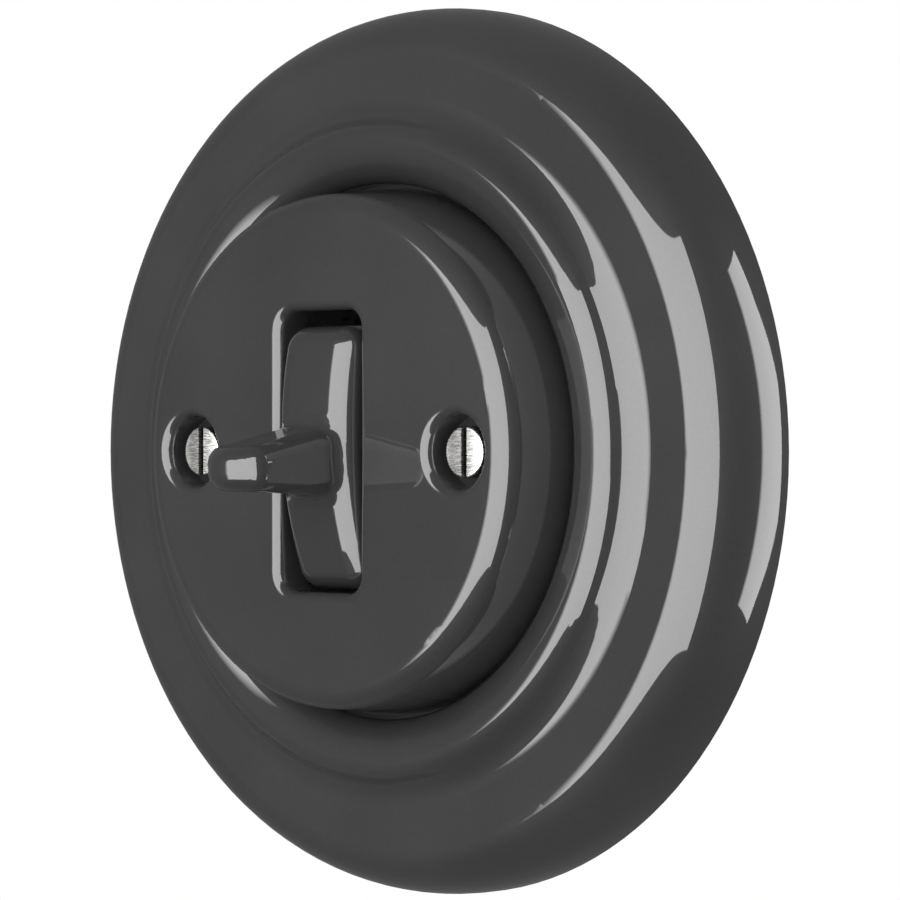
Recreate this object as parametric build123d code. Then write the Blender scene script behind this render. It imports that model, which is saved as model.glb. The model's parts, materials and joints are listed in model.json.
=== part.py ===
from build123d import *
from math import cos, radians, sin, sqrt, tan
import os

# Porcelain toggle switch: a round glazed frame on the wall, a round cover in it, a toggle
# in the cover's slot, and the change-over switch behind them. Millimetres.
# Everything is drawn in the wall's own frame: X right, Y up, Z out of the wall, with the
# wall plane at zero and the axis of the round parts on Z. The last step turns it to X right,
# Z up, with the front facing -Y.

# Frame ring
RING_RADIUS = 50.0
RIM_STRAIGHT = 1.2
BULGE_SHARE = 0.64
BULGE_HEIGHT = 10.3
VALLEY_HEIGHT = 10.2
VALLEY_FILLET = 3.5
FLANK_ANGLE = 56.0
BEAD_INNER_WIDTH = 4.65
BEAD_HEIGHT = 13.5
BEAD_OUTER_ROLL = 2.15
BEAD_INNER_ROLL = 3.0
LEDGE_WIDTH = 2.85
LEDGE_HEIGHT = 8.5
LEDGE_THICKNESS = 2.6
RING_FOOT = 4.2
RING_WALL = 3.6
LIP_WALL = 1.4
HOLLOW_DROP = 1.0

# Cover plate
COVER_RADIUS = 29.4
COVER_HEIGHT = 20.2
COVER_SHOULDER = 2.4
COVER_DRAFT = 6.0
COVER_WALL = 3.5
COVER_FACE = 4.0
COVER_INNER_FILLET = 2.0
COVER_CLEARANCE = 0.45
SLOT_WIDTH = 12.4
SLOT_HEIGHT = 31.0
SLOT_CORNER = 2.2
SLOT_EDGE_FILLET = 1.2
RECESS_RADIUS = 4.0
RECESS_DEPTH = 3.8
RECESS_FILLET = 1.1
BOSS_RADIUS = 5.6
BOSS_DROP = 2.3
BOSS_OVERLAP = 0.5

# Cover screws and the posts they go into
SCREW_INSET = 8.7
SCREW_RADIUS = 1.45
SCREW_LENGTH = 10.0
HEAD_RADIUS = 2.8
HEAD_HEIGHT = 2.2
HEAD_EDGE = 0.25
DRIVER_SLOT_WIDTH = 0.8
DRIVER_SLOT_DEPTH = 1.0
SMALL_HEAD_EDGE = 0.3
SMALL_SLOT_DEPTH = 0.8
SCREW_POINT_SHARE = 0.3
SCREW_CLEARANCE = 0.25
THREAD_CLEARANCE = 0.05
POST_RADIUS = 3.25
POST_NECK_RADIUS = 2.3
POST_GAP = 0.2

# Toggle
PIVOT_HEIGHT = 9.0
TOGGLE_LEAN = 4.5
TOGGLE_WIDTH = 11.2
TOGGLE_HALF_HEIGHT = 14.5
TOGGLE_FRONT_HEIGHT = 21.7
TOGGLE_FRONT_ARC = 45.0
TOGGLE_BACK_HEIGHT = 12.6
TOGGLE_EDGE = 2.7
LEVER_TIP_HEIGHT = 34.7
LEVER_HALF_WIDTH = 4.25
LEVER_FRONT_ARC = 5.3
LEVER_CORNER = 2.2
LEVER_ROOT_HALF = 3.8
LEVER_TIP_HALF = 2.2
LEVER_EDGE = 2.0
LEVER_BLEND = 2.2
POCKET_DEPTH = 3.6
TONGUE_WIDTH = 5.0
TONGUE_HEIGHT = 16.0
GLUE_GAP = 0.1

# Toggle carrier, axle, plunger and spring
FLANGE_THICKNESS = 1.2
FLANGE_HEIGHT = 22.0
HUB_WIDTH = 10.0
HUB_RADIUS = 3.0
AXLE_RADIUS = 1.2
RUNNING_CLEARANCE = 0.05
TAIL_RADIUS = 2.6
TAIL_LENGTH = 12.5
BORE_ROOF = 1.0
PLUNGER_RADIUS = 1.55
PLUNGER_LENGTH = 6.0
PLUNGER_REACH = 16.0
SPRING_WIRE = 0.35
SPRING_TURNS = 6.0
SPRING_SIDE_GAP = 0.15
SPRING_END_GAP = 0.05

# Change-over contact
ROCKER_PIVOT_DEPTH = 9.0
ROCKER_TILT = 6.0
ROCKER_HALF_LENGTH = 8.0
ROCKER_WIDTH = 4.0
ROCKER_THICKNESS = 0.8
ROCKER_CORNER = 1.2
ROCKER_HUB_RADIUS = 1.7
PLUNGER_GAP = 0.08
CONTACT_PIN_RADIUS = 1.0
CONTACT_REACH = 7.0
CONTACT_TIP_RADIUS = 1.3
CONTACT_TIP_HEIGHT = 0.6
CONTACT_GAP = 0.05
STRIP_THICKNESS = 0.8
STRIP_WIDTH = 4.0
STRIP_END_MARGIN = 0.5
COMMON_DROP = 1.3
CHEEK_GAP = 0.3
CHEEK_THICKNESS = 1.0
CHEEK_HALF_HEIGHT = 2.5
CHEEK_RISE = 1.2

# Terminals
CLAMP_WIDTH = 6.0
CLAMP_DEPTH = 4.5
CLAMP_LENGTH = 6.5
CLAMP_START = 14.0
CLAMP_BACK_DEPTH = 19.0
WIRE_BORE_RADIUS = 1.5
WIRE_BORE_LENGTH = 5.5
CLAMP_SCREW_RADIUS = 1.2
CLAMP_SCREW_HEAD_RADIUS = 2.3
CLAMP_SCREW_HEAD_HEIGHT = 1.6
CLAMP_SCREW_STANDOFF = 0.3

# Switch base
BASE_RADIUS = 22.0
BASE_DEPTH = 22.0
BASE_EDGE = 1.0
CAVITY_HALF_WIDTH = 5.5
CAVITY_HALF_HEIGHT = 9.8
CAVITY_MIDDLE = 4.8
POCKET_START = 11.4
POCKET_END = 18.8
POCKET_CLEARANCE = 0.3
POCKET_TOP_DEPTH = 9.4
STRIP_CLEARANCE = 0.1
DRIVER_HOLE_CLEARANCE = 0.4
POCKET_OVERLAP = 1.0

# Mechanism lid and its screws
LID_WIDTH = 24.0
LID_HEIGHT = 31.0
LID_THICKNESS = 2.5
LID_CORNER = 3.0
LID_SLOT_WIDTH = 6.4
LID_SLOT_HEIGHT = 10.0
EAR_GAP = 0.9
EAR_THICKNESS = 3.0
EAR_RADIUS = 3.2
LID_SCREW_PLACE = 12.5
LID_SCREW_RADIUS = 1.25
LID_SCREW_HEAD_RADIUS = 2.3
LID_SCREW_HEAD_HEIGHT = 1.5
LID_SCREW_DEPTH = 6.0

# Mounting plate
PLATE_THICKNESS = 1.2
PLATE_SIDE_MARGIN = 7.0
PLATE_HEIGHT = 50.0
PLATE_OPENING_WIDTH = 13.0
PLATE_OPENING_HEIGHT = 20.4
BOX_SCREW_SPACING = 60.0
BOX_SLOT_LENGTH = 7.0
BOX_SLOT_RADIUS = 2.1

# How near an edge must be to the place where a fillet looks for it
EDGE_TOLERANCE = 0.01
LEVER_ROOT_BAND = 1.0
LEVER_ROOT_MARGIN = 0.3

# Places worked out from the sizes above
FACE_BACK = COVER_HEIGHT - COVER_FACE
RECESS_FLOOR = COVER_HEIGHT - RECESS_DEPTH
BOSS_END = FACE_BACK - BOSS_DROP
POST_TOP = BOSS_END - POST_GAP
WALL_SLOPE = tan(radians(COVER_DRAFT))
WALL_TOP = COVER_HEIGHT - COVER_SHOULDER * (1 - sin(radians(COVER_DRAFT)))
WALL_TOP_RADIUS = COVER_RADIUS - (WALL_TOP - LEDGE_HEIGHT) * WALL_SLOPE
COVER_FLAT_RADIUS = WALL_TOP_RADIUS - COVER_SHOULDER * cos(radians(COVER_DRAFT))
LIP_RADIUS = COVER_RADIUS + COVER_CLEARANCE
RING_BORE_RADIUS = LIP_RADIUS - LEDGE_WIDTH
BEAD_RADIUS = LIP_RADIUS + BEAD_INNER_WIDTH
BULGE_RADIUS = BEAD_RADIUS + BULGE_SHARE * (RING_RADIUS - BEAD_RADIUS)
PLATE_RADIUS = BOX_SCREW_SPACING / 2 + PLATE_SIDE_MARGIN
SCREW_PLACE = COVER_RADIUS - SCREW_INSET
SCREW_PLACES = [(-SCREW_PLACE, 0), (SCREW_PLACE, 0)]
LID_SCREW_PLACES = [(0, -LID_SCREW_PLACE), (0, LID_SCREW_PLACE)]
BORE_RADIUS = PLUNGER_RADIUS + RUNNING_CLEARANCE
PLUNGER_TIP = PIVOT_HEIGHT - PLUNGER_REACH
PLUNGER_TOP = PLUNGER_TIP + PLUNGER_LENGTH
BORE_TOP = PIVOT_HEIGHT - HUB_RADIUS - BORE_ROOF
ROCKER_PIVOT = -ROCKER_PIVOT_DEPTH
ROCKER_TOP = PLUNGER_TIP - PLUNGER_GAP
TIP_UNDERSIDE = ROCKER_TOP - ROCKER_THICKNESS - CONTACT_TIP_HEIGHT
TIP_EDGE = CONTACT_REACH + CONTACT_TIP_RADIUS
CLOSED_TIP = (
    ROCKER_PIVOT
    - TIP_EDGE * sin(radians(ROCKER_TILT))
    + (TIP_UNDERSIDE - ROCKER_PIVOT) * cos(radians(ROCKER_TILT))
)
FIXED_TIP_TOP = CLOSED_TIP - CONTACT_GAP
STRIP_TOP = FIXED_TIP_TOP - CONTACT_TIP_HEIGHT
STRIP_BOTTOM = STRIP_TOP - STRIP_THICKNESS
COMMON_TOP = STRIP_BOTTOM - COMMON_DROP
COMMON_BOTTOM = COMMON_TOP - STRIP_THICKNESS
CLAMP_END = CLAMP_START + CLAMP_DEPTH
CLAMP_TOP = -CLAMP_BACK_DEPTH + CLAMP_LENGTH
CLAMP_MIDDLE = -CLAMP_BACK_DEPTH + CLAMP_LENGTH / 2
WIRE_PLACE = CLAMP_START + CLAMP_DEPTH / 2
TERMINAL_TURNS = {"common": -90, "upper": 0, "lower": 180}


def box(x0, x1, y0, y1, z0, z1):
    """A box between two corners."""
    size = (x1 - x0, y1 - y0, z1 - z0)
    middle = ((x0 + x1) / 2, (y0 + y1) / 2, (z0 + z1) / 2)
    return Pos(*middle) * Box(*size)


def rod(radius, z0, z1, place=(0, 0)):
    """A round bar along Z between two heights."""
    return Pos(place[0], place[1], (z0 + z1) / 2) * Cylinder(radius, z1 - z0)


def bar_along_x(radius, x0, x1, y, z):
    """A round bar along X."""
    return Pos((x0 + x1) / 2, y, z) * Rot(0, 90, 0) * Cylinder(radius, x1 - x0)


def bar_along_y(radius, y0, y1, x, z):
    """A round bar along Y."""
    return Pos(x, (y0 + y1) / 2, z) * Rot(90, 0, 0) * Cylinder(radius, y1 - y0)


def turned(edges):
    """A solid turned about the axis from the edges of its half section."""
    outline = make_face(edges)
    return revolve(Plane.XZ * outline, Axis.Z)


def turn_about_x(part, angle, height):
    """Turn a part about a line along X at a height on the axis."""
    return Pos(0, 0, height) * Rot(angle, 0, 0) * Pos(0, 0, -height) * part


def frame_ring():
    """The glazed frame: rim, bulge, valley and bead, hollow behind."""
    bulge = EllipticalCenterArc(
        (BULGE_RADIUS, RIM_STRAIGHT),
        RING_RADIUS - BULGE_RADIUS,
        BULGE_HEIGHT - RIM_STRAIGHT,
        start_angle=0,
        arc_size=90,
    )
    bead_centre = (BEAD_RADIUS, BEAD_HEIGHT - BEAD_OUTER_ROLL)
    outer_roll = CenterArc(bead_centre, BEAD_OUTER_ROLL, 90 - FLANK_ANGLE, FLANK_ANGLE)
    roll_end = outer_roll @ 0
    turn = radians(FLANK_ANGLE)
    flank_drop = roll_end.Y - VALLEY_FILLET * (1 - cos(turn)) - VALLEY_HEIGHT
    flank_run = flank_drop * cos(turn) / sin(turn)
    flank_foot = (roll_end.X + flank_run, roll_end.Y - flank_drop)
    valley_radius = flank_foot[0] + VALLEY_FILLET * sin(turn)
    valley_centre = (valley_radius, VALLEY_HEIGHT + VALLEY_FILLET)
    valley = CenterArc(valley_centre, VALLEY_FILLET, 270 - FLANK_ANGLE, FLANK_ANGLE)
    inner_centre = (BEAD_RADIUS, BEAD_HEIGHT - BEAD_INNER_ROLL)
    inner_roll = EllipticalCenterArc(
        inner_centre, BEAD_RADIUS - LIP_RADIUS, BEAD_INNER_ROLL, start_angle=90, arc_size=90
    )
    foot_radius = RING_RADIUS - RING_FOOT
    hollow_edge = LIP_RADIUS + LIP_WALL
    outline = Curve() + [
        Line((RING_RADIUS, 0), (RING_RADIUS, RIM_STRAIGHT)),
        bulge,
        Line((BULGE_RADIUS, BULGE_HEIGHT), (valley_radius, VALLEY_HEIGHT)),
        valley,
        Line(flank_foot, (roll_end.X, roll_end.Y)),
        outer_roll,
        inner_roll,
        Polyline(
            (LIP_RADIUS, BEAD_HEIGHT - BEAD_INNER_ROLL),
            (LIP_RADIUS, LEDGE_HEIGHT),
            (RING_BORE_RADIUS, LEDGE_HEIGHT),
            (RING_BORE_RADIUS, LEDGE_HEIGHT - LEDGE_THICKNESS),
            (hollow_edge, LEDGE_HEIGHT - LEDGE_THICKNESS),
            (BEAD_RADIUS, BEAD_HEIGHT - RING_WALL),
            (roll_end.X, roll_end.Y - RING_WALL),
            (valley_radius, VALLEY_HEIGHT - RING_WALL),
            (foot_radius, BULGE_HEIGHT - RING_WALL - HOLLOW_DROP),
            (foot_radius, 0),
            (RING_RADIUS, 0),
        ),
    ]
    return turned(outline)


def cover_outline():
    """Half section of the cover: flat face, rounded shoulder, drafted wall, open back."""
    draft = radians(COVER_DRAFT)
    arc_size = 90 - COVER_DRAFT
    shoulder_centre = (COVER_FLAT_RADIUS, COVER_HEIGHT - COVER_SHOULDER)
    shoulder = CenterArc(shoulder_centre, COVER_SHOULDER, COVER_DRAFT, arc_size)
    inner_foot = COVER_RADIUS - COVER_WALL
    inner_top = FACE_BACK - COVER_INNER_FILLET * (1 - sin(draft))
    inner_top_radius = inner_foot - (inner_top - LEDGE_HEIGHT) * WALL_SLOPE
    inner_centre_radius = inner_top_radius - COVER_INNER_FILLET * cos(draft)
    inner_centre = (inner_centre_radius, FACE_BACK - COVER_INNER_FILLET)
    return Curve() + [
        Line((0, COVER_HEIGHT), (COVER_FLAT_RADIUS, COVER_HEIGHT)),
        shoulder,
        Line((WALL_TOP_RADIUS, WALL_TOP), (COVER_RADIUS, LEDGE_HEIGHT)),
        Line((COVER_RADIUS, LEDGE_HEIGHT), (inner_foot, LEDGE_HEIGHT)),
        Line((inner_foot, LEDGE_HEIGHT), (inner_top_radius, inner_top)),
        CenterArc(inner_centre, COVER_INNER_FILLET, COVER_DRAFT, arc_size),
        Line((inner_centre_radius, FACE_BACK), (0, FACE_BACK)),
        Line((0, FACE_BACK), (0, COVER_HEIGHT)),
    ]


def cover_plate():
    """The moulded cover with its toggle slot, screw recesses and bosses."""
    cover = turned(cover_outline())
    for place in SCREW_PLACES:
        cover += rod(BOSS_RADIUS, BOSS_END, FACE_BACK + BOSS_OVERLAP, place)
    for place in SCREW_PLACES:
        cover -= rod(RECESS_RADIUS, RECESS_FLOOR, COVER_HEIGHT, place)
        cover -= rod(SCREW_RADIUS + SCREW_CLEARANCE, BOSS_END, RECESS_FLOOR, place)
    slot = extrude(RectangleRounded(SLOT_WIDTH, SLOT_HEIGHT, SLOT_CORNER), COVER_FACE)
    cover -= Pos(0, 0, FACE_BACK) * slot
    front_edges = cover.edges().filter_by(lambda e: abs(e.center().Z - COVER_HEIGHT) < EDGE_TOLERANCE)
    slot_edges = front_edges.filter_by(lambda e: abs(e.center().X) < (SLOT_WIDTH + EDGE_TOLERANCE) / 2)
    slot_edges = slot_edges.filter_by(lambda e: e.length < SLOT_HEIGHT)
    cover = fillet(slot_edges, SLOT_EDGE_FILLET)
    front_edges = cover.edges().filter_by(lambda e: abs(e.center().Z - COVER_HEIGHT) < EDGE_TOLERANCE)
    recess_edges = front_edges.filter_by(GeomType.CIRCLE)
    recess_edges = recess_edges.filter_by(lambda e: abs(e.radius - RECESS_RADIUS) < EDGE_TOLERANCE)
    return fillet(recess_edges, RECESS_FILLET)


def slotted_screw(radius, length, head_radius, head_height, edge, slot_width, slot_depth):
    """A slotted screw: the head stands on height zero and the shank goes down."""
    head = rod(head_radius, 0, head_height)
    head = fillet(head.edges().sort_by(Axis.Z)[-1], edge)
    head -= box(-slot_width / 2, slot_width / 2, -head_radius, head_radius,
                head_height - slot_depth, head_height)
    shank = rod(radius, -length, 0)
    shank = chamfer(shank.edges().sort_by(Axis.Z)[0], radius * SCREW_POINT_SHARE)
    return head + shank


def cover_screws():
    """Two slotted screws that hold the cover."""
    screw = slotted_screw(
        SCREW_RADIUS, SCREW_LENGTH, HEAD_RADIUS, HEAD_HEIGHT, HEAD_EDGE,
        DRIVER_SLOT_WIDTH, DRIVER_SLOT_DEPTH,
    )
    return [Pos(x, y, RECESS_FLOOR) * screw for x, y in SCREW_PLACES]


def cover_posts():
    """Two threaded posts, riveted into the mounting plate."""
    post = rod(POST_RADIUS, PLATE_THICKNESS, POST_TOP)
    post += rod(POST_NECK_RADIUS, 0, PLATE_THICKNESS)
    post -= rod(SCREW_RADIUS + THREAD_CLEARANCE, 0, POST_TOP)
    return [Pos(x, y, 0) * post for x, y in SCREW_PLACES]


def toggle_block():
    """The block of the toggle: arched front, flat back, rounded front edges."""
    half = TOGGLE_HALF_HEIGHT
    arc_centre = TOGGLE_FRONT_HEIGHT - TOGGLE_FRONT_ARC
    end_height = arc_centre + sqrt(TOGGLE_FRONT_ARC ** 2 - half ** 2)
    side = Curve() + [
        Line((-half, TOGGLE_BACK_HEIGHT), (half, TOGGLE_BACK_HEIGHT)),
        Line((half, TOGGLE_BACK_HEIGHT), (half, end_height)),
        ThreePointArc((half, end_height), (0, TOGGLE_FRONT_HEIGHT), (-half, end_height)),
        Line((-half, end_height), (-half, TOGGLE_BACK_HEIGHT)),
    ]
    block = extrude(Plane.YZ * make_face(side), TOGGLE_WIDTH / 2, both=True)
    front_edges = block.edges().filter_by(lambda e: e.center().Z > end_height - EDGE_TOLERANCE)
    long_edges = block.edges().filter_by(Axis.Z)
    return fillet(front_edges + long_edges, TOGGLE_EDGE)


def lever():
    """The flat finger of the toggle: tapered in thickness, bowed and rounded at the tip."""
    low = TOGGLE_BACK_HEIGHT + POCKET_DEPTH + LEVER_EDGE
    bow = LEVER_FRONT_ARC - sqrt(LEVER_FRONT_ARC ** 2 - LEVER_HALF_WIDTH ** 2)
    shoulder = LEVER_TIP_HEIGHT - bow
    half = LEVER_HALF_WIDTH
    plan = make_face(Curve() + [
        Line((-half, low), (half, low)),
        Line((half, low), (half, shoulder)),
        ThreePointArc((half, shoulder), (0, LEVER_TIP_HEIGHT), (-half, shoulder)),
        Line((-half, shoulder), (-half, low)),
    ])
    plan = fillet(plan.vertices().sort_by(Axis.Y)[-2:], LEVER_CORNER)
    taper = (LEVER_ROOT_HALF - LEVER_TIP_HALF) / (LEVER_TIP_HEIGHT - TOGGLE_FRONT_HEIGHT)
    low_half = LEVER_ROOT_HALF + taper * (TOGGLE_FRONT_HEIGHT - low)
    side = make_face(Polyline(
        (-low_half, low), (low_half, low), (LEVER_TIP_HALF, LEVER_TIP_HEIGHT),
        (-LEVER_TIP_HALF, LEVER_TIP_HEIGHT), close=True,
    ))
    finger = extrude(Plane.XZ * plan, low_half, both=True)
    finger &= extrude(Plane.YZ * side, half, both=True)
    edges = finger.edges().filter_by(lambda e: e.center().Z > low + EDGE_TOLERANCE)
    edges = edges.filter_by(lambda e: abs(e.center().Y) > EDGE_TOLERANCE)
    return fillet(edges, LEVER_EDGE)


def near_lever_root(edge):
    """Whether an edge lies wholly at the foot of the lever, on the block's crown."""
    box = edge.bounding_box()
    return (
        max(-box.min.X, box.max.X) < LEVER_HALF_WIDTH + LEVER_ROOT_MARGIN
        and max(-box.min.Y, box.max.Y) < LEVER_ROOT_HALF + LEVER_ROOT_MARGIN
        and box.min.Z > TOGGLE_FRONT_HEIGHT - LEVER_ROOT_BAND
        and box.max.Z < TOGGLE_FRONT_HEIGHT + LEVER_ROOT_BAND
    )


def toggle():
    """The porcelain toggle: block and lever in one piece, blended at the root."""
    body = toggle_block() + lever()
    body = fillet(body.edges().filter_by(near_lever_root), LEVER_BLEND)
    half_width = TONGUE_WIDTH / 2 + GLUE_GAP
    half_height = TONGUE_HEIGHT / 2 + GLUE_GAP
    body -= box(-half_width, half_width, -half_height, half_height,
                TOGGLE_BACK_HEIGHT, TOGGLE_BACK_HEIGHT + POCKET_DEPTH)
    return turn_about_x(body, TOGGLE_LEAN, PIVOT_HEIGHT)


def toggle_carrier():
    """Moulded carrier: tongue in the toggle, hub on the axle, tail for the plunger."""
    flange_low = TOGGLE_BACK_HEIGHT - FLANGE_THICKNESS
    part = box(-TONGUE_WIDTH / 2, TONGUE_WIDTH / 2, -TONGUE_HEIGHT / 2, TONGUE_HEIGHT / 2,
               TOGGLE_BACK_HEIGHT, TOGGLE_BACK_HEIGHT + POCKET_DEPTH - GLUE_GAP)
    part += box(-HUB_WIDTH / 2, HUB_WIDTH / 2, -FLANGE_HEIGHT / 2, FLANGE_HEIGHT / 2,
                flange_low, TOGGLE_BACK_HEIGHT)
    part += box(-HUB_WIDTH / 2, HUB_WIDTH / 2, -HUB_RADIUS, HUB_RADIUS, PIVOT_HEIGHT, flange_low)
    part += bar_along_x(HUB_RADIUS, -HUB_WIDTH / 2, HUB_WIDTH / 2, 0, PIVOT_HEIGHT)
    tail_end = PIVOT_HEIGHT - TAIL_LENGTH
    part += rod(TAIL_RADIUS, tail_end, PIVOT_HEIGHT)
    part -= rod(BORE_RADIUS, tail_end, BORE_TOP)
    part -= bar_along_x(AXLE_RADIUS + RUNNING_CLEARANCE, -HUB_WIDTH, HUB_WIDTH, 0, PIVOT_HEIGHT)
    return turn_about_x(part, TOGGLE_LEAN, PIVOT_HEIGHT)


def toggle_axle():
    """Steel pin through the hub, held in the lid's ears."""
    reach = HUB_WIDTH / 2 + EAR_GAP + EAR_THICKNESS
    return bar_along_x(AXLE_RADIUS, -reach, reach, 0, PIVOT_HEIGHT)


def plunger():
    """Round-nosed pin that presses on the moving contact."""
    pin = rod(PLUNGER_RADIUS, PLUNGER_TIP + PLUNGER_RADIUS, PLUNGER_TOP)
    pin += Pos(0, 0, PLUNGER_TIP + PLUNGER_RADIUS) * Sphere(PLUNGER_RADIUS)
    return turn_about_x(pin, TOGGLE_LEAN, PIVOT_HEIGHT)


def plunger_spring():
    """Coil spring between the plunger and the end of the tail's bore."""
    radius = BORE_RADIUS - SPRING_SIDE_GAP - SPRING_WIRE / 2
    low = PLUNGER_TOP + SPRING_END_GAP + SPRING_WIRE / 2
    height = BORE_TOP - SPRING_END_GAP - SPRING_WIRE / 2 - low
    path = Helix(height / SPRING_TURNS, height, radius)
    section = Plane(origin=path @ 0, z_dir=path % 0) * Circle(SPRING_WIRE / 2)
    coil = Pos(0, 0, low) * sweep(section, path=path)
    return turn_about_x(coil, TOGGLE_LEAN, PIVOT_HEIGHT)


def tilt_rocker(part):
    """Set a part of the moving contact at its rest tilt, upper arm pressed in."""
    return turn_about_x(part, -ROCKER_TILT, ROCKER_PIVOT)


def moving_contact():
    """The rocking strip with its hub."""
    half = ROCKER_WIDTH / 2
    low = ROCKER_TOP - ROCKER_THICKNESS
    strip = box(-half, half, -ROCKER_HALF_LENGTH, ROCKER_HALF_LENGTH, low, ROCKER_TOP)
    strip = fillet(strip.edges().filter_by(Axis.Z), ROCKER_CORNER)
    strip += bar_along_x(ROCKER_HUB_RADIUS, -half, half, 0, ROCKER_PIVOT) & box(
        -half, half, -half, half, ROCKER_PIVOT - half, ROCKER_TOP
    )
    strip -= bar_along_x(CONTACT_PIN_RADIUS + RUNNING_CLEARANCE, -half, half, 0, ROCKER_PIVOT)
    return tilt_rocker(strip)


def moving_contact_tips():
    """Two silver tips under the arms of the moving contact."""
    top = ROCKER_TOP - ROCKER_THICKNESS
    tips = []
    for y in (-CONTACT_REACH, CONTACT_REACH):
        tips.append(tilt_rocker(rod(CONTACT_TIP_RADIUS, TIP_UNDERSIDE, top, (0, y))))
    return tips


def contact_pin():
    """Pin of the moving contact, held in the common terminal's cheeks."""
    reach = ROCKER_WIDTH / 2 + CHEEK_GAP + CHEEK_THICKNESS
    return bar_along_x(CONTACT_PIN_RADIUS, -reach, reach, 0, ROCKER_PIVOT)


def terminal_strip(start, top, bottom, width):
    """A strip along +Y from a start to its clamp, bent down beside the clamp."""
    half = width / 2
    leg = CLAMP_START - STRIP_THICKNESS
    strip = box(-half, half, start, CLAMP_START, bottom, top)
    return strip + box(-half, half, leg, CLAMP_START, -CLAMP_BACK_DEPTH, top)


def common_terminal():
    """Common strip with two cheeks that carry the moving contact."""
    inner = ROCKER_WIDTH / 2 + CHEEK_GAP
    outer = inner + CHEEK_THICKNESS
    strip = terminal_strip(-outer, COMMON_TOP, COMMON_BOTTOM, STRIP_WIDTH)
    part = Rot(0, 0, TERMINAL_TURNS["common"]) * strip
    part += box(-outer, outer, -CHEEK_HALF_HEIGHT, CHEEK_HALF_HEIGHT, COMMON_BOTTOM, COMMON_TOP)
    for side in (-1, 1):
        x0, x1 = sorted((side * inner, side * outer))
        part += box(x0, x1, -CHEEK_HALF_HEIGHT, CHEEK_HALF_HEIGHT,
                    COMMON_BOTTOM, ROCKER_PIVOT + CHEEK_RISE)
    return part - bar_along_x(CONTACT_PIN_RADIUS, -outer, outer, 0, ROCKER_PIVOT)


def fixed_contact(name):
    """One fixed contact strip, running to its own clamp."""
    start = CONTACT_REACH - CONTACT_TIP_RADIUS - STRIP_END_MARGIN
    strip = terminal_strip(start, STRIP_TOP, STRIP_BOTTOM, STRIP_WIDTH)
    return Rot(0, 0, TERMINAL_TURNS[name]) * strip


def fixed_contact_tips():
    """Two silver tips on the fixed contacts."""
    places = [(0, -CONTACT_REACH), (0, CONTACT_REACH)]
    return [rod(CONTACT_TIP_RADIUS, STRIP_TOP, FIXED_TIP_TOP, place) for place in places]


def terminal_clamps():
    """Three clamp blocks with a wire bore from behind and a screw from the side."""
    half = CLAMP_WIDTH / 2
    block = box(-half, half, CLAMP_START, CLAMP_END, -CLAMP_BACK_DEPTH, CLAMP_TOP)
    bore_end = -CLAMP_BACK_DEPTH + WIRE_BORE_LENGTH
    block -= rod(WIRE_BORE_RADIUS, -CLAMP_BACK_DEPTH, bore_end, (0, WIRE_PLACE))
    block -= bar_along_y(CLAMP_SCREW_RADIUS + THREAD_CLEARANCE, WIRE_PLACE, CLAMP_END,
                         0, CLAMP_MIDDLE)
    return [Rot(0, 0, turn) * block for turn in TERMINAL_TURNS.values()]


def terminal_screws():
    """Three slotted clamp screws, reached through holes in the base's side."""
    length = CLAMP_SCREW_STANDOFF + CLAMP_END - WIRE_PLACE - WIRE_BORE_RADIUS
    screw = slotted_screw(
        CLAMP_SCREW_RADIUS, length, CLAMP_SCREW_HEAD_RADIUS, CLAMP_SCREW_HEAD_HEIGHT,
        SMALL_HEAD_EDGE, DRIVER_SLOT_WIDTH, SMALL_SLOT_DEPTH,
    )
    seat = CLAMP_END + CLAMP_SCREW_STANDOFF
    screw = Pos(0, seat, CLAMP_MIDDLE) * Rot(-90, 0, 0) * screw
    return [Rot(0, 0, turn) * screw for turn in TERMINAL_TURNS.values()]


def terminal_pocket(strip_start, strip_top, strip_bottom):
    """What one terminal takes out of the base, along +Y."""
    half = CLAMP_WIDTH / 2 + POCKET_CLEARANCE
    pocket = box(-half, half, POCKET_START, POCKET_END, -BASE_DEPTH, -POCKET_TOP_DEPTH)
    half_strip = STRIP_WIDTH / 2 + STRIP_CLEARANCE
    pocket += box(-half_strip, half_strip, strip_start, POCKET_START,
                  strip_bottom, strip_top + STRIP_CLEARANCE)
    driver_hole = CLAMP_SCREW_HEAD_RADIUS + DRIVER_HOLE_CLEARANCE
    return pocket + bar_along_y(driver_hole, CLAMP_END, BASE_RADIUS + POCKET_OVERLAP, 0, CLAMP_MIDDLE)


def switch_base():
    """The round base behind the wall plane with its cavity and terminal pockets."""
    base = rod(BASE_RADIUS, -BASE_DEPTH, 0)
    base = fillet(base.edges().sort_by(Axis.Z)[0], BASE_EDGE)
    base -= box(-CAVITY_HALF_WIDTH, CAVITY_HALF_WIDTH, -CAVITY_HALF_HEIGHT, CAVITY_HALF_HEIGHT,
                STRIP_BOTTOM, 0)
    base -= box(-CAVITY_HALF_WIDTH, CAVITY_HALF_WIDTH, -CAVITY_MIDDLE, CAVITY_MIDDLE,
                COMMON_BOTTOM, 0)
    for name, turn in TERMINAL_TURNS.items():
        if name == "common":
            cut = terminal_pocket(CAVITY_HALF_WIDTH - POCKET_OVERLAP, COMMON_TOP, COMMON_BOTTOM)
        else:
            cut = terminal_pocket(CAVITY_HALF_HEIGHT - POCKET_OVERLAP, STRIP_TOP, STRIP_BOTTOM)
        base -= Rot(0, 0, turn) * cut
    for place in LID_SCREW_PLACES:
        base -= rod(LID_SCREW_RADIUS, -LID_SCREW_DEPTH, 0, place)
    return base


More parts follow.
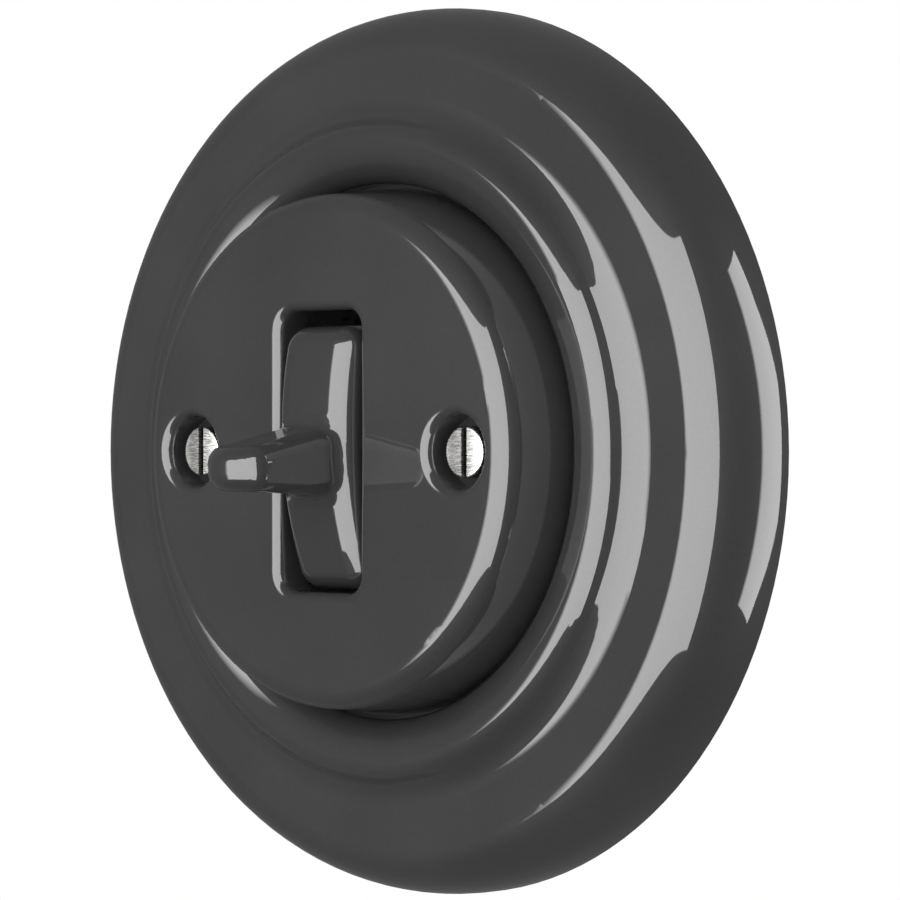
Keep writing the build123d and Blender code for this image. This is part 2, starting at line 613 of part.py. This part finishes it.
def mechanism_lid():
    """Front lid of the mechanism with two ears for the axle."""
    top = PLATE_THICKNESS + LID_THICKNESS
    lid = Pos(0, 0, PLATE_THICKNESS) * extrude(
        RectangleRounded(LID_WIDTH, LID_HEIGHT, LID_CORNER), LID_THICKNESS
    )
    ear_start = HUB_WIDTH / 2 + EAR_GAP
    ear_end = ear_start + EAR_THICKNESS
    for side in (-1, 1):
        x0, x1 = sorted((side * ear_start, side * ear_end))
        lid += box(x0, x1, -EAR_RADIUS, EAR_RADIUS, top, PIVOT_HEIGHT)
        lid += bar_along_x(EAR_RADIUS, x0, x1, 0, PIVOT_HEIGHT)
    lid -= bar_along_x(AXLE_RADIUS, -ear_end, ear_end, 0, PIVOT_HEIGHT)
    lid -= box(-LID_SLOT_WIDTH / 2, LID_SLOT_WIDTH / 2, -LID_SLOT_HEIGHT / 2,
               LID_SLOT_HEIGHT / 2, PLATE_THICKNESS, top)
    for place in LID_SCREW_PLACES:
        lid -= rod(LID_SCREW_RADIUS + SCREW_CLEARANCE, PLATE_THICKNESS, top, place)
    return lid


def lid_screws():
    """Two screws through lid and plate into the base."""
    seat = PLATE_THICKNESS + LID_THICKNESS
    screw = slotted_screw(
        LID_SCREW_RADIUS, seat + LID_SCREW_DEPTH, LID_SCREW_HEAD_RADIUS, LID_SCREW_HEAD_HEIGHT,
        SMALL_HEAD_EDGE, DRIVER_SLOT_WIDTH, SMALL_SLOT_DEPTH,
    )
    return [Pos(x, y, seat) * screw for x, y in LID_SCREW_PLACES]


def mounting_plate():
    """Steel plate against the wall with two slots for the box screws."""
    outline = Circle(PLATE_RADIUS) & Rectangle(2 * PLATE_RADIUS, PLATE_HEIGHT)
    plate = extrude(outline, PLATE_THICKNESS)
    half_width = PLATE_OPENING_WIDTH / 2
    half_height = PLATE_OPENING_HEIGHT / 2
    plate -= box(-half_width, half_width, -half_height, half_height, 0, PLATE_THICKNESS)
    slot = extrude(SlotOverall(BOX_SLOT_LENGTH, 2 * BOX_SLOT_RADIUS), PLATE_THICKNESS)
    for side in (-1, 1):
        plate -= Pos(side * BOX_SCREW_SPACING / 2, 0, 0) * slot
    for place in SCREW_PLACES:
        plate -= rod(POST_NECK_RADIUS, 0, PLATE_THICKNESS, place)
    for place in LID_SCREW_PLACES:
        plate -= rod(LID_SCREW_RADIUS + SCREW_CLEARANCE, 0, PLATE_THICKNESS, place)
    return plate


def write(name, made):
    """Turn the solids of one node upright and write them to its file."""
    solids = made if isinstance(made, list) else [made]
    upright = [Rot(90, 0, 0) * solid for solid in solids]
    shape = upright[0] if len(upright) == 1 else Compound(children=upright)
    export_step(shape, os.path.join("parts", name + ".step"))


os.makedirs("parts", exist_ok=True)
write("frame_ring", frame_ring())
write("cover_plate", cover_plate())
write("cover_screws", cover_screws())
write("cover_posts", cover_posts())
write("toggle", toggle())
write("toggle_carrier", toggle_carrier())
write("toggle_axle", toggle_axle())
write("plunger", plunger())
write("plunger_spring", plunger_spring())
write("moving_contact", moving_contact())
write("moving_contact_tips", moving_contact_tips())
write("contact_pin", contact_pin())
write("common_terminal", common_terminal())
write("upper_contact", fixed_contact("upper"))
write("lower_contact", fixed_contact("lower"))
write("fixed_contact_tips", fixed_contact_tips())
write("terminal_clamps", terminal_clamps())
write("terminal_screws", terminal_screws())
write("switch_base", switch_base())
write("mechanism_lid", mechanism_lid())
write("lid_screws", lid_screws())
write("mounting_plate", mounting_plate())
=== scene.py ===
import json
import math

import bpy
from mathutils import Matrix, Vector

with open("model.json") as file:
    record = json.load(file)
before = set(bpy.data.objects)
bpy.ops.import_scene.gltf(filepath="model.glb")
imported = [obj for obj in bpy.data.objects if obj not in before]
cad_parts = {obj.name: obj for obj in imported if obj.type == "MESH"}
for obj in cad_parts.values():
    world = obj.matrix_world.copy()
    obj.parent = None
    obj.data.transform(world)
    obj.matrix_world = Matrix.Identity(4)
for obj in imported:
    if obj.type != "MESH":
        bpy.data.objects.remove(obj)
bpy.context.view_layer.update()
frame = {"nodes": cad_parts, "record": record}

# Camera: the photograph's view, worked out from the outlines of the ring and the cover
VIEW_AZIMUTH = 43.98
VIEW_ELEVATION = 0.19
VIEW_DISTANCE = 0.4429
LENS = 156.0
SENSOR_WIDTH = 36.0
SHIFT_X = 0.0052
SHIFT_Y = 0.0013

# Noise: the part of its range that a ramp spreads out
NOISE_START = 0.3
NOISE_END = 0.7

# Glaze on the ring, the cover and the toggle
GLAZE_DARK = (0.043, 0.0435, 0.045)
GLAZE_LIGHT = (0.062, 0.0625, 0.0645)
GLAZE_ROUGHNESS = (0.40, 0.50)
GLAZE_BODY_GLOSS = 0.05
GLAZE_COAT_ROUGHNESS = 0.035
GLAZE_IOR = 1.5
GLAZE_CLOUD_SCALE = 45.0
GLAZE_CLOUD_DETAIL = 3.0
GLAZE_CLOUD_SHARE = 0.5
GLAZE_SPECKLE_SCALE = 2600.0
GLAZE_SPECKLE_SHARE = 0.5
GLAZE_WAVE_SCALE = 70.0
GLAZE_WAVE_DEPTH = 0.000018

# Metals: the bright colour, and how many scratches a metre has along each axis
NICKEL_COLOUR = (0.74, 0.73, 0.71)
NICKEL_GRAIN = (900, 900, 9000)
ZINC_COLOUR = (0.62, 0.64, 0.67)
ZINC_GRAIN = (400, 400, 3000)
STEEL_COLOUR = (0.58, 0.58, 0.59)
STEEL_GRAIN = (3000, 300, 3000)
BRASS_COLOUR = (0.76, 0.56, 0.27)
BRASS_GRAIN = (2500, 2500, 300)
SILVER_COLOUR = (0.86, 0.85, 0.82)
SILVER_GRAIN = (900, 900, 900)
SCRATCH_DETAIL = 3.0
SCRATCH_CONTRAST = 0.7
SCRATCH_DEPTH = 0.000004
SMOOTHEST = 0.7
ROUGHEST = 1.5
PATCH_SCALE = 500.0

# Cover screws: where they stand, how domed their heads are, and the shade painted into their slots
SCREW_PLACE = 0.0207
HEAD_DOME_RADIUS = 0.024
SLOT_SHADE = 0.12
SLOT_DARK_FROM = 0.00015
SLOT_DARK_TO = 0.0005

# Black moulding of the base, the lid and the carrier
MOULDING_DARK = (0.018, 0.018, 0.019)
MOULDING_LIGHT = (0.032, 0.032, 0.033)
MOULDING_ROUGHNESS = (0.38, 0.52)
MOULDING_CLOUD_SCALE = 180.0
MOULDING_CLOUD_DETAIL = 3.0
MOULDING_GRAIN_SCALE = 2200.0
MOULDING_GRAIN_DEPTH = 0.00003

# Lights: strengths as radiance, so that 1 is white, and each softbox's sides as elevations
KEY_GLOSS = 8.3
KEY_FROM = -34.0
KEY_TO = 60.0
KEY_FIRST_SIDE = (-28.0, 24.0)
KEY_LAST_SIDE = (-42.0, 46.0)
KEY_SOFT_EDGE = 8.0
SIDE_GLOSS = 7.8
SIDE_FROM = 116.0
SIDE_TO = 137.0
SIDE_SIDES = (-31.0, 37.0)
SIDE_SOFT_EDGE = 3.0
SOFTBOX_DISTANCE = 3.0
SOFTBOX_STEPS = 24
LAMP_POWER = 6.0
LAMP_DISTANCE = 1.5
LAMP_AZIMUTH = -8.0
LAMP_ELEVATION = 20.0
LAMP_SIZE = (1.2, 1.6)

# Surroundings: white to the camera, dark where the glaze mirrors the room
AMBIENT = 0.7
ROOM_GLOSS = 0.16
ROOM_RADIUS = 6.0
ROOM_SEGMENTS = 32
ROOM_RINGS = 16
FLOOR_LEVEL = -6.2
FLOOR_REACH = 3 * ROOM_RADIUS
FLOOR_SHADE = (0.8, 0.8, 0.8, 1)
FLOOR_ROUGHNESS = 0.8
WHITE = (1, 1, 1, 1)


def new_material(name):
    """A node material, its tree and its shader."""
    material = bpy.data.materials.new(name)
    material.use_nodes = True
    tree = material.node_tree
    return material, tree, tree.nodes["Principled BSDF"]


def coordinates(tree):
    """Place in the object's own frame, in metres."""
    return tree.nodes.new("ShaderNodeTexCoord").outputs["Object"]


def noise(tree, vector, scale, detail=2.0, roughness=0.5):
    """A noise texture's value."""
    node = tree.nodes.new("ShaderNodeTexNoise")
    node.inputs["Scale"].default_value = scale
    node.inputs["Detail"].default_value = detail
    node.inputs["Roughness"].default_value = roughness
    tree.links.new(vector, node.inputs["Vector"])
    return node.outputs["Fac"]


def stretched(tree, vector, factors):
    """The place scaled by a factor on each axis, for grain that runs one way."""
    node = tree.nodes.new("ShaderNodeMapping")
    node.inputs["Scale"].default_value = factors
    tree.links.new(vector, node.inputs["Vector"])
    return node.outputs["Vector"]


def ramp(tree, value, low, high, start=NOISE_START, end=NOISE_END):
    """A value that goes from low to high while the given one goes from start to end."""
    node = tree.nodes.new("ShaderNodeMapRange")
    node.inputs["From Min"].default_value = start
    node.inputs["From Max"].default_value = end
    node.inputs["To Min"].default_value = low
    node.inputs["To Max"].default_value = high
    tree.links.new(value, node.inputs["Value"])
    return node.outputs["Result"]


def calculate(tree, operation, first, second):
    """Two values, or a value and a number, put together by one operation."""
    node = tree.nodes.new("ShaderNodeMath")
    node.operation = operation
    for socket, value in zip(node.inputs, (first, second)):
        if isinstance(value, float):
            socket.default_value = value
        else:
            tree.links.new(value, socket)
    return node.outputs["Value"]


def mix_colours(tree, value, first, second):
    """A colour between two, by a value."""
    node = tree.nodes.new("ShaderNodeMix")
    node.data_type = "RGBA"
    node.inputs["A"].default_value = (*first, 1.0)
    node.inputs["B"].default_value = (*second, 1.0)
    tree.links.new(value, node.inputs["Factor"])
    return node.outputs["Result"]


def bump(tree, shader, height, distance, sockets=("Normal",)):
    """Relief from a height, in metres once it is multiplied by the distance."""
    node = tree.nodes.new("ShaderNodeBump")
    node.inputs["Strength"].default_value = 1.0
    node.inputs["Distance"].default_value = distance
    tree.links.new(height, node.inputs["Height"])
    for socket in sockets:
        tree.links.new(node.outputs["Normal"], shader.inputs[socket])
    return node


def glaze_material():
    """Dark grey glaze: a quiet body under a clear gloss with a faint waviness."""
    material, tree, shader = new_material("dark_glaze")
    place = coordinates(tree)
    cloud = noise(tree, place, GLAZE_CLOUD_SCALE, GLAZE_CLOUD_DETAIL)
    speckle = noise(tree, place, GLAZE_SPECKLE_SCALE, 1.0)
    both = calculate(tree, "ADD", calculate(tree, "MULTIPLY", speckle, GLAZE_SPECKLE_SHARE),
                     ramp(tree, cloud, 0.0, GLAZE_CLOUD_SHARE))
    tree.links.new(mix_colours(tree, both, GLAZE_DARK, GLAZE_LIGHT), shader.inputs["Base Color"])
    tree.links.new(ramp(tree, cloud, *GLAZE_ROUGHNESS), shader.inputs["Roughness"])
    shader.inputs["IOR"].default_value = GLAZE_IOR
    shader.inputs["Specular IOR Level"].default_value = GLAZE_BODY_GLOSS
    shader.inputs["Coat Weight"].default_value = 1.0
    shader.inputs["Coat Roughness"].default_value = GLAZE_COAT_ROUGHNESS
    shader.inputs["Coat IOR"].default_value = GLAZE_IOR
    wave = noise(tree, place, GLAZE_WAVE_SCALE, 1.0)
    bump(tree, shader, wave, GLAZE_WAVE_DEPTH, sockets=("Normal", "Coat Normal"))
    return material


def metal_material(name, colour, shade, roughness, grain):
    """A metal with fine scratches along one way and patches darker by the shade."""
    material, tree, shader = new_material(name)
    place = coordinates(tree)
    lines = noise(tree, stretched(tree, place, grain), 1.0, SCRATCH_DETAIL, SCRATCH_CONTRAST)
    patches = noise(tree, place, PATCH_SCALE)
    darker = tuple(part * shade for part in colour)
    tree.links.new(mix_colours(tree, ramp(tree, patches, 0.0, 1.0), darker, colour),
                   shader.inputs["Base Color"])
    tree.links.new(ramp(tree, lines, roughness * SMOOTHEST, roughness * ROUGHEST),
                   shader.inputs["Roughness"])
    shader.inputs["Metallic"].default_value = 1.0
    bump(tree, shader, lines, SCRATCH_DEPTH)
    return material


def dome_heads(tree, shader, place):
    """Turns the light on the screw heads as a slight dome does, over their scratches."""
    aside = calculate(tree, "SUBTRACT", calculate(tree, "ABSOLUTE", place.outputs["X"], 0.0), SCREW_PLACE)
    squares = calculate(tree, "ADD", calculate(tree, "POWER", aside, 2.0),
                        calculate(tree, "POWER", place.outputs["Z"], 2.0))
    dome = calculate(tree, "MULTIPLY", squares, -0.5 / HEAD_DOME_RADIUS)
    scratches = shader.inputs["Normal"].links[0].from_node
    domed = bump(tree, shader, dome, 1.0)
    tree.links.new(scratches.outputs["Normal"], domed.inputs["Normal"])


def paint_shade_in_slots(tree, shader, place, face):
    """Paints shade on what lies deeper than the heads' face, which is the slots and the shanks, by
    darkening their colour.
    """
    slot = ramp(tree, place.outputs["Y"], 1.0, SLOT_SHADE, face + SLOT_DARK_FROM, face + SLOT_DARK_TO)
    shaded = tree.nodes.new("ShaderNodeVectorMath")
    shaded.operation = "SCALE"
    tree.links.new(shader.inputs["Base Color"].links[0].from_socket, shaded.inputs[0])
    tree.links.new(slot, shaded.inputs["Scale"])
    tree.links.new(shaded.outputs["Vector"], shader.inputs["Base Color"])


def screw_material(screws):
    """Bright nickel with slightly domed heads and shade painted into the slots."""
    material = metal_material("bright_nickel", NICKEL_COLOUR, 0.75, 0.24, NICKEL_GRAIN)
    tree = material.node_tree
    shader = tree.nodes["Principled BSDF"]
    place = tree.nodes.new("ShaderNodeSeparateXYZ")
    tree.links.new(coordinates(tree), place.inputs["Vector"])
    dome_heads(tree, shader, place)
    # painted shade: the nickel colour is darkened in the slots and on the shanks
    paint_shade_in_slots(tree, shader, place, min(vertex.co.y for vertex in screws.data.vertices))
    return material


def moulding_material():
    """Black thermoset moulding, slightly textured."""
    material, tree, shader = new_material("black_moulding")
    place = coordinates(tree)
    cloud = noise(tree, place, MOULDING_CLOUD_SCALE, MOULDING_CLOUD_DETAIL)
    grain = noise(tree, place, MOULDING_GRAIN_SCALE)
    tree.links.new(mix_colours(tree, cloud, MOULDING_DARK, MOULDING_LIGHT), shader.inputs["Base Color"])
    tree.links.new(ramp(tree, cloud, *MOULDING_ROUGHNESS), shader.inputs["Roughness"])
    bump(tree, shader, grain, MOULDING_GRAIN_DEPTH)
    return material


def finish_nodes():
    """Gives every CAD node its material, by the record's material slots."""
    by_slot = {
        "glaze": glaze_material(),
        "nickel": screw_material(frame["nodes"]["cover_screws"]),
        "zinc": metal_material("zinc_plate", ZINC_COLOUR, 0.85, 0.35, ZINC_GRAIN),
        "steel": metal_material("bright_steel", STEEL_COLOUR, 0.9, 0.28, STEEL_GRAIN),
        "brass": metal_material("plain_brass", BRASS_COLOUR, 0.85, 0.3, BRASS_GRAIN),
        "silver": metal_material("contact_silver", SILVER_COLOUR, 0.9, 0.32, SILVER_GRAIN),
        "moulding": moulding_material(),
    }
    for part in frame["record"]["subparts"]:
        node = frame["nodes"][part["node"]]
        for slot in node.material_slots:
            slot.material = by_slot[part["material_slot"]]


def direction(azimuth, elevation):
    """Unit vector from the object towards an azimuth and an elevation in degrees."""
    a = math.radians(azimuth)
    e = math.radians(elevation)
    return Vector((math.sin(a) * math.cos(e), -math.cos(a) * math.cos(e), math.sin(e)))


def emission_material(name, strength):
    """A plain light-giving surface."""
    material = bpy.data.materials.new(name)
    material.use_nodes = True
    tree = material.node_tree
    tree.nodes.clear()
    light = tree.nodes.new("ShaderNodeEmission")
    light.inputs["Strength"].default_value = strength
    output = tree.nodes.new("ShaderNodeOutputMaterial")
    tree.links.new(light.outputs["Emission"], output.inputs["Surface"])
    return material


def add_object(name, vertices, faces, material):
    """A mesh object of the stage."""
    mesh = bpy.data.meshes.new(name)
    mesh.from_pydata(vertices, [], faces)
    mesh.materials.append(material)
    thing = bpy.data.objects.new(name, mesh)
    bpy.context.scene.collection.objects.link(thing)
    return thing


def only_in_reflections(thing):
    """Shown in the glaze and the metal, but not to the camera, and lighting nothing."""
    thing.visible_camera = False
    thing.visible_diffuse = False
    thing.visible_transmission = False
    thing.visible_volume_scatter = False
    thing.visible_shadow = False


def softbox(name, azimuths, first_side, last_side, strength, soft_edge):
    """The lit face of a softbox: a curved card between two upright sides, each from its
    lowest to its highest elevation, that fades in over the soft edge at the first."""
    vertices = []
    glow = []
    for i in range(SOFTBOX_STEPS + 1):
        share = i / SOFTBOX_STEPS
        turn = (azimuths[1] - azimuths[0]) * share
        flat = direction(azimuths[0] + turn, 0.0) * SOFTBOX_DISTANCE
        for first, last in zip(first_side, last_side):
            rise = SOFTBOX_DISTANCE * math.tan(math.radians(first + (last - first) * share))
            vertices.append(flat + Vector((0, 0, rise)))
            glow.append(min(1.0, turn / soft_edge))
    faces = [(2 * i, 2 * i + 2, 2 * i + 3, 2 * i + 1) for i in range(SOFTBOX_STEPS)]
    material = emission_material(name, strength)
    tree = material.node_tree
    fade = tree.nodes.new("ShaderNodeAttribute")
    fade.attribute_name = "glow"
    tree.links.new(fade.outputs["Fac"], tree.nodes["Emission"].inputs["Color"])
    card = add_object(name, vertices, faces, material)
    card.data.attributes.new("glow", "FLOAT", "POINT").data.foreach_set("value", glow)
    only_in_reflections(card)


def studio_room():
    """Dark room round the stage, seen only in reflections, as black flags are."""
    bpy.ops.mesh.primitive_uv_sphere_add(segments=ROOM_SEGMENTS, ring_count=ROOM_RINGS, radius=ROOM_RADIUS)
    room = bpy.context.object
    room.name = "studio_room"
    room.data.materials.append(emission_material("studio_room", ROOM_GLOSS))
    only_in_reflections(room)


def soft_lamp(name, azimuth, elevation, power, size):
    """A plain soft lamp aimed at the object, kept out of reflections."""
    data = bpy.data.lights.new(name, "AREA")
    data.shape = "RECTANGLE"
    data.size = size[0]
    data.size_y = size[1]
    data.energy = power
    lamp = bpy.data.objects.new(name, data)
    bpy.context.scene.collection.objects.link(lamp)
    lamp.location = direction(azimuth, elevation) * LAMP_DISTANCE
    lamp.rotation_euler = (-lamp.location).to_track_quat("-Z", "Y").to_euler()
    lamp.visible_glossy = False
    lamp.visible_camera = False


def mix_where_seen(tree, other):
    """A mix that takes its second shader for rays of the camera, of gloss and of glass,
    and the given one for all others."""
    path = tree.nodes.new("ShaderNodeLightPath")
    first = calculate(tree, "MAXIMUM", path.outputs["Is Camera Ray"], path.outputs["Is Glossy Ray"])
    seen = calculate(tree, "MAXIMUM", first, path.outputs["Is Transmission Ray"])
    mix = tree.nodes.new("ShaderNodeMixShader")
    tree.links.new(seen, mix.inputs["Fac"])
    tree.links.new(other, mix.inputs[1])
    return mix


def background(tree, strength):
    """A white background of a given strength."""
    node = tree.nodes.new("ShaderNodeBackground")
    node.inputs["Strength"].default_value = strength
    node.inputs["Color"].default_value = WHITE
    return node.outputs["Background"]


def white_world():
    """White to the camera, plain soft light on the object."""
    world = bpy.data.worlds.new("white_world")
    bpy.context.scene.world = world
    world.use_nodes = True
    tree = world.node_tree
    tree.nodes.clear()
    mix = mix_where_seen(tree, background(tree, AMBIENT))
    tree.links.new(background(tree, 1.0), mix.inputs[2])
    output = tree.nodes.new("ShaderNodeOutputWorld")
    tree.links.new(mix.outputs["Shader"], output.inputs["Surface"])


def pale_floor():
    """Plain pale floor far below the switch, white to the camera."""
    material, tree, shader = new_material("pale_floor")
    shader.inputs["Base Color"].default_value = FLOOR_SHADE
    shader.inputs["Roughness"].default_value = FLOOR_ROUGHNESS
    white = tree.nodes.new("ShaderNodeEmission")
    white.inputs["Strength"].default_value = 1.0
    mix = mix_where_seen(tree, shader.outputs["BSDF"])
    tree.links.new(white.outputs["Emission"], mix.inputs[2])
    tree.links.new(mix.outputs["Shader"], tree.nodes["Material Output"].inputs["Surface"])
    signs = ((-1, -1), (1, -1), (1, 1), (-1, 1))
    corners = [(x * FLOOR_REACH, y * FLOOR_REACH, FLOOR_LEVEL) for x, y in signs]
    add_object("pale_floor", corners, [(0, 1, 2, 3)], material)


def photo_camera():
    """The camera of the photograph."""
    data = bpy.data.cameras.new("photo_camera")
    data.lens = LENS
    data.sensor_width = SENSOR_WIDTH
    data.sensor_fit = "HORIZONTAL"
    data.shift_x = SHIFT_X
    data.shift_y = SHIFT_Y
    camera = bpy.data.objects.new("photo_camera", data)
    bpy.context.scene.collection.objects.link(camera)
    camera.location = direction(VIEW_AZIMUTH, VIEW_ELEVATION) * VIEW_DISTANCE
    camera.rotation_euler = (-camera.location).to_track_quat("-Z", "Y").to_euler()
    bpy.context.scene.camera = camera


bpy.context.scene.view_settings.view_transform = "Standard"
finish_nodes()
photo_camera()
white_world()
pale_floor()
studio_room()
softbox("key_softbox", (KEY_FROM, KEY_TO), KEY_FIRST_SIDE, KEY_LAST_SIDE, KEY_GLOSS, KEY_SOFT_EDGE)
softbox("side_softbox", (SIDE_FROM, SIDE_TO), SIDE_SIDES, SIDE_SIDES, SIDE_GLOSS, SIDE_SOFT_EDGE)
soft_lamp("key_lamp", LAMP_AZIMUTH, LAMP_ELEVATION, LAMP_POWER, LAMP_SIZE)
